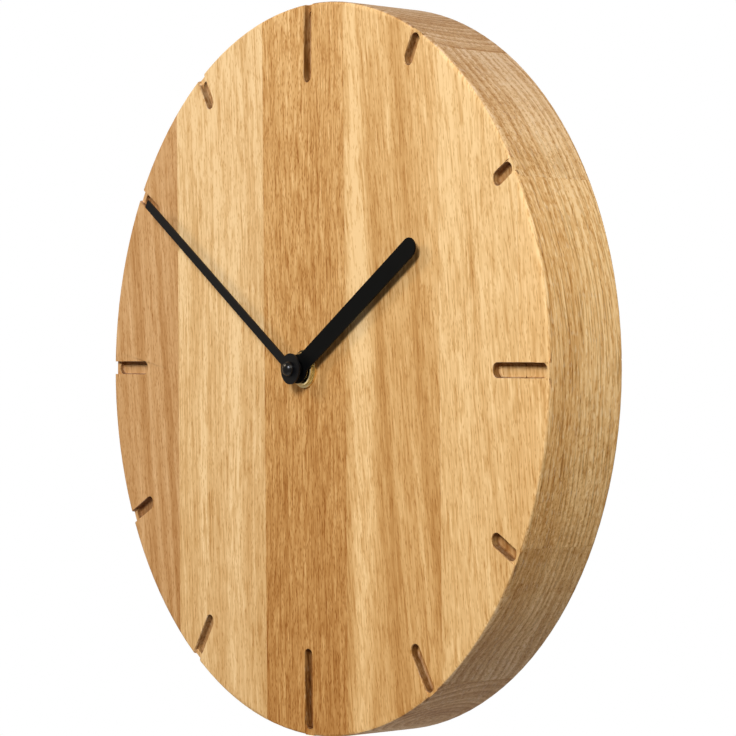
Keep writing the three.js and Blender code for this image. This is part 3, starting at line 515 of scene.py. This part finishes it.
# Cells of the other materials' noise, in millimetres
WEAR_CELL = 6
BRUSH_CELL = (0.12, 0.12, 9)
PLATING_CELL = (5, 5, 7)
GROOVE_CELL = 1 / 6
TARNISH_CELL = 3
ENAMEL_CELL = 1.5
TRACK_CELL = (2.6, 40, 1.7)
MASK_CELL = 0.3
SLEEVE_CELL = (0.6, 0.2, 0.2)
# Bare ends of the dry cell and the start of its band, as shares of its length
BARE_END = 0.04
BAND_START = 0.74


def toned(colour, factor):
    """A paler or darker colour, each channel at most 1."""
    return tuple(min(1.0, c * factor) for c in colour)


def plain(name, colour, roughness, metallic=0.0, grain=0.4, spread=0.12, specular=0.5, scale=0.5):
    """Moulded, painted or plated surface with a fine skin and slow patches of wear."""
    g = Graph(name)
    place = g.place()
    patch = g.noise(g.even(place, WEAR_CELL), 3.0, 0.6)
    skin = g.noise(g.even(place, scale), 2.0, 0.6)
    wear = g.plus(patch, g.times(skin, 0.5))
    g.set(Base_Color=g.mix(patch, toned(colour, 1 - spread), toned(colour, 1 + spread)))
    g.set(Metallic=metallic, Specular_IOR_Level=specular)
    g.set(Roughness=g.span(wear, 0.4, 1.2, roughness * 0.85, roughness * 1.15))
    g.set(Normal=g.bump(skin, grain, 0.04 * MM))
    return g.material


def brushed(name, colour, roughness):
    """Sheet metal drawn upright: fine lines, dull patches of plating."""
    g = Graph(name)
    place = g.place()
    line = g.noise(g.stretch(place, *BRUSH_CELL), 2.0, 0.6)
    patch = g.noise(g.stretch(place, *PLATING_CELL), 3.0, 0.6)
    tone = g.plus(g.times(line, 0.35), g.times(patch, 0.65))
    g.set(Base_Color=g.mix(g.span(tone, *USUAL), toned(colour, 0.80), toned(colour, 1.15)))
    g.set(Roughness=g.span(tone, *USUAL, roughness * 1.25, roughness * 0.8))
    g.set(Metallic=1.0, Normal=g.bump(line, 0.25, 0.02 * MM))
    return g.material


def turned(name, colour, roughness):
    """Metal turned on a lathe about the dial axis: fine rings and a slow tarnish."""
    g = Graph(name)
    place = g.place()
    x, y, z = g.split(place)
    reach = g.length(x, g.minus(z, DIAL_HEIGHT))
    groove = g.noise(g.even(g.join(reach, y, 0.0), GROOVE_CELL), 1.0)
    tarnish = g.noise(g.even(place, TARNISH_CELL), 3.0, 0.6)
    tarnished = tuple(c * f for c, f in zip(colour, (0.80, 0.76, 0.70)))
    g.set(Base_Color=g.mix(g.span(tarnish, 0.35, 0.7), colour, tarnished), Metallic=1.0)
    g.set(Roughness=g.span(groove, *USUAL, roughness * 0.8, roughness * 1.3))
    g.set(Normal=g.bump(groove, 0.10, 0.01 * MM))
    return g.material


def wound(name, colour, pitch):
    """Enamelled wire wound in close turns along x, pitch in millimetres, with painted shade between the turns
    and a painted sheen on their crowns.
    """
    g = Graph(name)
    place = g.place()
    x = g.split(place)[0]
    turn = g.math("FRACT", g.times(x, 1 / (pitch * MM)))
    crown = g.math("SINE", g.times(turn, math.pi))
    patch = g.noise(g.even(place, ENAMEL_CELL))
    # Painted shade in the grooves between turns and a painted sheen on their crowns
    painted_crown_light = g.times(crown, g.span(patch, 0.2, 0.6, 0.7, 1.0))
    g.set(Base_Color=g.mix(painted_crown_light, toned(colour, 0.45), colour), Metallic=0.85)
    g.set(Roughness=g.span(patch, *USUAL, 0.28, 0.42), Normal=g.bump(crown, 0.6, 0.06 * MM))
    return g.material


def printed(name, mask, track):
    """Circuit board: solder mask over square tracks."""
    g = Graph(name)
    place = g.place()
    cell = g.cells(g.stretch(place, *TRACK_CELL), distance="CHEBYCHEV")
    line = g.span(g.math("PINGPONG", cell, 0.14), 0.05, 0.09)
    grain = g.noise(g.even(place, MASK_CELL))
    g.set(Base_Color=g.mix(line, mask, track), Roughness=g.span(grain, *USUAL, 0.30, 0.45))
    g.set(Normal=g.bump(g.plus(line, g.times(grain, 0.2)), 0.4, 0.03 * MM))
    return g.material


def wrapped(name, wrap, band, metal):
    """Dry cell: printed sleeve with one plain band, bare metal at both ends."""
    g = Graph(name)
    place = g.place()
    x = g.split(place)[0]
    low, high = (corner[0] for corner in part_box("battery_cell"))
    along = g.span(x, low, high, smooth=False)
    bare = g.math("GREATER_THAN", g.size(g.minus(along, 0.5)), 0.5 - BARE_END)
    stripe = g.math("GREATER_THAN", along, BAND_START)
    grain = g.noise(g.stretch(place, *SLEEVE_CELL))
    sleeve = g.mix(stripe, wrap, band)
    sleeve = g.mix(g.span(grain, *USUAL, 0.0, 0.25), sleeve, (0.5, 0.5, 0.5), "MULTIPLY")
    g.set(Base_Color=g.mix(bare, sleeve, metal), Metallic=g.span(bare, 0.0, 1.0, 0.35, 1.0))
    g.set(Roughness=g.span(grain, *USUAL, 0.26, 0.40), Normal=g.bump(grain, 0.10, 0.03 * MM))
    return g.material


SLOT_LOOKS = {
    "case_plastic": plain("case_plastic", (0.022, 0.023, 0.025), 0.50, grain=0.8, spread=0.2, scale=0.28),
    "knob_plastic": plain("knob_plastic", (0.055, 0.057, 0.062), 0.42, grain=0.6, spread=0.2, scale=0.3),
    "gear_plastic": plain("gear_plastic", (0.80, 0.77, 0.68), 0.45),
    "steel": brushed("steel", (0.62, 0.63, 0.65), 0.34),
    "magnet": plain("magnet", (0.12, 0.12, 0.13), 0.40, 0.8),
    "copper": wound("copper", (0.62, 0.24, 0.09), 0.24),
    "board": printed("board", (0.025, 0.115, 0.055), (0.070, 0.240, 0.110)),
    "chip_resin": plain("chip_resin", (0.012, 0.012, 0.014), 0.30),
    "crystal_can": brushed("crystal_can", (0.74, 0.75, 0.77), 0.22),
    "brass": turned("brass", (0.90, 0.74, 0.40), 0.20),
    "rubber": plain("rubber", (0.020, 0.020, 0.020), 0.78, grain=0.9, spread=0.25, scale=0.35),
    "hand_black": plain("hand_black", (0.0030, 0.0033, 0.0034), 0.42, specular=0.05),
    "cap_black": plain("cap_black", (0.0025, 0.0025, 0.003), 0.27, grain=0.05, specular=0.32),
    "cell": wrapped("cell", (0.05, 0.13, 0.24), (0.42, 0.44, 0.46), (0.70, 0.70, 0.71)),
}

# The minute hand shines a little more than the hour hand; the arbor and the hour pipe between them are black
NODE_LOOKS = {
    "minute_hand": plain("minute_black", (0.0032, 0.0034, 0.0042), 0.42, specular=0.16),
    "minute_arbor": plain("black_steel", (0.012, 0.012, 0.014), 0.45, 0.6),
    "hour_wheel": plain("black_nylon", (0.010, 0.010, 0.011), 0.50),
}

# Vertices closer than this are one, in metres
WELD = 1e-6


def soft_edges():
    """Node group that welds facets and shades them smoothly up to an angle."""
    group = bpy.data.node_groups.new("soft_edges", "GeometryNodeTree")
    group.interface.new_socket("Geometry", in_out="INPUT", socket_type="NodeSocketGeometry")
    group.interface.new_socket("Geometry", in_out="OUTPUT", socket_type="NodeSocketGeometry")
    group.interface.new_socket("Angle", in_out="INPUT", socket_type="NodeSocketFloat")
    enter = group.nodes.new("NodeGroupInput")
    leave = group.nodes.new("NodeGroupOutput")
    weld = group.nodes.new("GeometryNodeMergeByDistance")
    weld.inputs["Distance"].default_value = WELD
    faces = group.nodes.new("GeometryNodeSetShadeSmooth")
    faces.domain = "FACE"
    edges = group.nodes.new("GeometryNodeSetShadeSmooth")
    edges.domain = "EDGE"
    bend = group.nodes.new("GeometryNodeInputMeshEdgeAngle")
    gentle = group.nodes.new("FunctionNodeCompare")
    gentle.operation = "LESS_THAN"
    link = group.links.new
    link(enter.outputs["Geometry"], weld.inputs["Geometry"])
    link(weld.outputs[0], faces.inputs["Geometry"])
    link(faces.outputs[0], edges.inputs["Geometry"])
    link(bend.outputs["Unsigned Angle"], gentle.inputs["A"])
    link(enter.outputs["Angle"], gentle.inputs["B"])
    link(gentle.outputs[0], edges.inputs["Shade Smooth"])
    link(edges.outputs[0], leave.inputs[0])
    return group


SOFT_EDGES = soft_edges()
# Edges sharper than these angles, in degrees, stay sharp; some joints of the staves meet the rim at only 29
STAVE_CREASE = 24
CREASE = 40
# Weight that lets large flat faces keep their normals
FLAT_FACES_FIRST = 100


def soften(node, angle):
    """Shade round faces smoothly, keeping edges sharper than the angle."""
    soft = node.modifiers.new("soft_edges", "NODES")
    soft.node_group = SOFT_EDGES
    key = next(i.identifier for i in SOFT_EDGES.interface.items_tree if i.name == "Angle")
    soft[key] = math.radians(angle)
    even = node.modifiers.new("even_normals", "WEIGHTED_NORMAL")
    even.keep_sharp = True
    even.weight = FLAT_FACES_FIRST


# What tells the marks from the rest of a stave's mesh, in metres: depths that count as the same, the radius
# outside which all marks lie, the radius where the eased rim starts and a depth below all marks
SAME = 1e-5
MARKS_FROM = 0.09
RIM_FROM = BODY_RADIUS - 0.0016
BELOW_MARKS = 0.004
# Round ends of the marks, from their straight walls to their tip
ROUND_END = (MARK_END - MARK_WIDTH / 2 - SAME, MARK_END + 0.1 * MM)
# Edges that turn by more than this, in radians, and faces that look less to the front than this
SHARP = 1.2
UPRIGHT = 0.3


def depth(v):
    """How far a vertex lies behind the face."""
    return v.co.y + BODY_DEPTH


def at_depth(v, value):
    return abs(depth(v) - value) < SAME


def lip_depth(v):
    """Depth of the lip at a vertex: deep at 12 and on the left, shallow at 6 and on the right."""
    if v.co.x < -MARK_WIDTH:
        return LEFT_LIP
    if v.co.x < MARK_WIDTH and v.co.z > DIAL_HEIGHT:
        return TOP_LIP
    return RIGHT_LIP


def reshape_marks(shape, reach):
    """Give the marks the depth, lips and ends that the photograph shows, and return the floors' vertices."""
    marks = [v for v in shape.verts if reach[v] > MARKS_FROM]
    for v in marks:
        if at_depth(v, MARK_DEPTH):
            v.co.y = SEEN_DEPTH - BODY_DEPTH
        elif at_depth(v, MARK_LIP_DROP):
            v.co.y = lip_depth(v) - BODY_DEPTH
    floor = {v for v in marks if at_depth(v, SEEN_DEPTH)}
    for v in marks:
        at_end = ROUND_END[0] < reach[v] < ROUND_END[1]
        if v.co.x > MARK_WIDTH and at_end and (v in floor or at_depth(v, RIGHT_LIP)):
            away = RIGHT_REACH / reach[v]
            v.co.x += away * v.co.x
            v.co.z += away * (v.co.z - DIAL_HEIGHT)
    level = [f for f in shape.faces if all(v in floor for v in f.verts)]
    bmesh.ops.dissolve_faces(shape, faces=level)
    return floor


def weigh_edges(shape, reach, floor):
    """Ease the marks' edges on the face a little, and the edges round their floors in full."""
    weight = shape.edges.layers.float.new("bevel_weight_edge")
    for edge in shape.edges:
        if len(edge.link_faces) != 2 or edge.calc_face_angle() <= SHARP:
            continue
        if all(at_depth(v, 0.0) and MARKS_FROM < reach[v] < RIM_FROM for v in edge.verts):
            walls = [f for f in edge.link_faces if abs(f.normal.y) < UPRIGHT]
            if walls and max(depth(v) for v in walls[0].verts) < BELOW_MARKS:
                edge[weight] = EDGE_EASE / FLOOR_EASE
        if not edge.is_convex and all(v in floor for v in edge.verts):
            edge[weight] = 1.0


def stave(number):
    """Stave with the routed marks as the photograph shows them, in place of its plain solid."""
    name = f"oak_stave_{number}"
    shape = bmesh.new()
    shape.from_mesh(nodes[name].data)
    bmesh.ops.remove_doubles(shape, verts=shape.verts, dist=WELD)
    reach = {v: math.hypot(v.co.x, v.co.z - DIAL_HEIGHT) for v in shape.verts}
    floor = reshape_marks(shape, reach)
    weigh_edges(shape, reach, floor)
    mesh = bpy.data.meshes.new(f"stave_{number}")
    shape.to_mesh(mesh)
    shape.free()
    made = bpy.data.objects.new(f"stave_{number}", mesh)
    scene.collection.objects.link(made)
    round_over = made.modifiers.new("eased_marks", "BEVEL")
    round_over.limit_method = "WEIGHT"
    round_over.width = FLOOR_EASE
    round_over.segments = 3
    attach(made, "clock_body")
    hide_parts(name)
    return made


# Pieces near the eye whose edges catch the light: node, piece, body and width of the ease
EASED = [
    ("hour_hand", "hour_bar", "hour_group", 0.12 * MM),
    ("minute_hand", "minute_bar", "minute_group", 0.12 * MM),
    ("dial_nut", "brass_nut", "clock_body", 0.15 * MM),
    ("dial_washer", "brass_washer", "clock_body", 0.10 * MM),
]
# Their edges that turn by more than this, in degrees, are eased
EASED_FROM = 50


def eased(node, name, body, width):
    """Copy of a node with its sharp edges eased, in place of the plain solid."""
    made = bpy.data.objects.new(name, nodes[node].data.copy())
    scene.collection.objects.link(made)
    weld = made.modifiers.new("weld", "WELD")
    weld.merge_threshold = WELD
    ease = made.modifiers.new("eased_edges", "BEVEL")
    ease.limit_method = "ANGLE"
    ease.angle_limit = math.radians(EASED_FROM)
    ease.width = width
    ease.segments = 2
    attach(made, body)
    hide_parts(node)
    return made


def dress():
    """Replace the staves and the pieces near the eye, and give every node its look."""
    for number, values in enumerate(STAVES, 1):
        made = stave(number)
        made.data.materials.append(Oak(f"oak_{number}", **values).material)
        soften(made, STAVE_CREASE)
    dressed = dict(nodes)
    for name, piece, body, width in EASED:
        dressed[name] = eased(name, piece, body, width)
    slots = {row["node"]: row["material_slot"] for row in frame["record"]["subparts"]}
    for name, node in dressed.items():
        slot = slots[name]
        if slot == "oak":
            continue
        node.data.materials.clear()
        node.data.materials.append(NODE_LOOKS.get(name, SLOT_LOOKS[slot]))
        soften(node, CREASE)


FLOOR_RADIUS = 0.50
FLOOR_GAP = 0.50
FLOOR_STEPS = 96
FLOOR_COLOUR = (0.88, 0.88, 0.87)


def pale_floor():
    """Round floor well below the clock."""
    level = DIAL_HEIGHT - BODY_RADIUS - FLOOR_GAP
    turns = [2 * math.pi * step / FLOOR_STEPS for step in range(FLOOR_STEPS)]
    edge = [(FLOOR_RADIUS * math.cos(t), FLOOR_RADIUS * math.sin(t), level) for t in turns]
    mesh = bpy.data.meshes.new("floor")
    mesh.from_pydata(edge, [], [tuple(range(FLOOR_STEPS))])
    floor = bpy.data.objects.new("floor", mesh)
    scene.collection.objects.link(floor)
    g = Graph("floor")
    g.set(Base_Color=FLOOR_COLOUR, Roughness=0.8, Specular_IOR_Level=0.2)
    mesh.materials.append(g.material)


# Strength and tint of the even light, and the share of white that reflections see
AMBIENT = 0.045
AMBIENT_TINT = (1.0, 0.86, 0.68, 1)
WHITE = (1, 1, 1, 1)
MIRRORED = 0.35


def surroundings():
    """Pure white to the camera, a third of it in reflections, a low even light to everything else."""
    world = bpy.data.worlds.new("studio")
    scene.world = world
    world.use_nodes = True
    tree = world.node_tree
    shade = tree.nodes["Background"]
    path = tree.nodes.new("ShaderNodeLightPath")
    seen = tree.nodes.new("ShaderNodeMath")
    seen.operation = "MULTIPLY_ADD"
    seen.use_clamp = True
    seen.inputs[1].default_value = MIRRORED
    strength = tree.nodes.new("ShaderNodeMapRange")
    strength.inputs["To Min"].default_value = AMBIENT
    strength.inputs["To Max"].default_value = 1.0
    tint = tree.nodes.new("ShaderNodeMix")
    tint.data_type = "RGBA"
    tint.inputs[6].default_value = AMBIENT_TINT
    tint.inputs[7].default_value = WHITE
    link = tree.links.new
    link(path.outputs["Is Glossy Ray"], seen.inputs[0])
    link(path.outputs["Is Camera Ray"], seen.inputs[2])
    link(seen.outputs[0], strength.inputs["Value"])
    link(seen.outputs[0], tint.inputs[0])
    link(strength.outputs[0], shade.inputs["Strength"])
    link(tint.outputs[2], shade.inputs["Color"])


# Soft boxes that face the dial: name, turn to the right and rise above its axis in degrees, distance, width
# and height in metres, power in watts and colour
LAMPS = [
    ("key", 32, 25, 2.0, 0.55, 0.55, 37.0, (1.0, 1.03, 1.12)),
    ("left", -48, 30, 1.3, 0.36, 0.36, 5.0, (1.0, 0.84, 0.62)),
    ("right", 86, 32, 1.2, 0.7, 0.6, 5.2, (1.0, 0.97, 0.92)),
    ("back", -155, 8, 1.5, 0.7, 0.6, 17.0, (1.0, 1.0, 1.0)),
]


def lamps():
    """Soft studio light."""
    for name, turn, rise, distance, width, height, power, colour in LAMPS:
        away = direction(turn, rise)
        aim = (-away).to_track_quat("-Z", "Y").to_matrix().to_4x4()
        data = bpy.data.lights.new(name, "AREA")
        data.shape = "RECTANGLE"
        data.size = width
        data.size_y = height
        data.energy = power
        data.color = colour
        made = bpy.data.objects.new(name, data)
        made.matrix_world = Matrix.Translation(DIAL_CENTRE + away * distance) @ aim
        scene.collection.objects.link(made)


camera()
dress()
pale_floor()
surroundings()
lamps()
scene.view_settings.view_transform = "Standard"
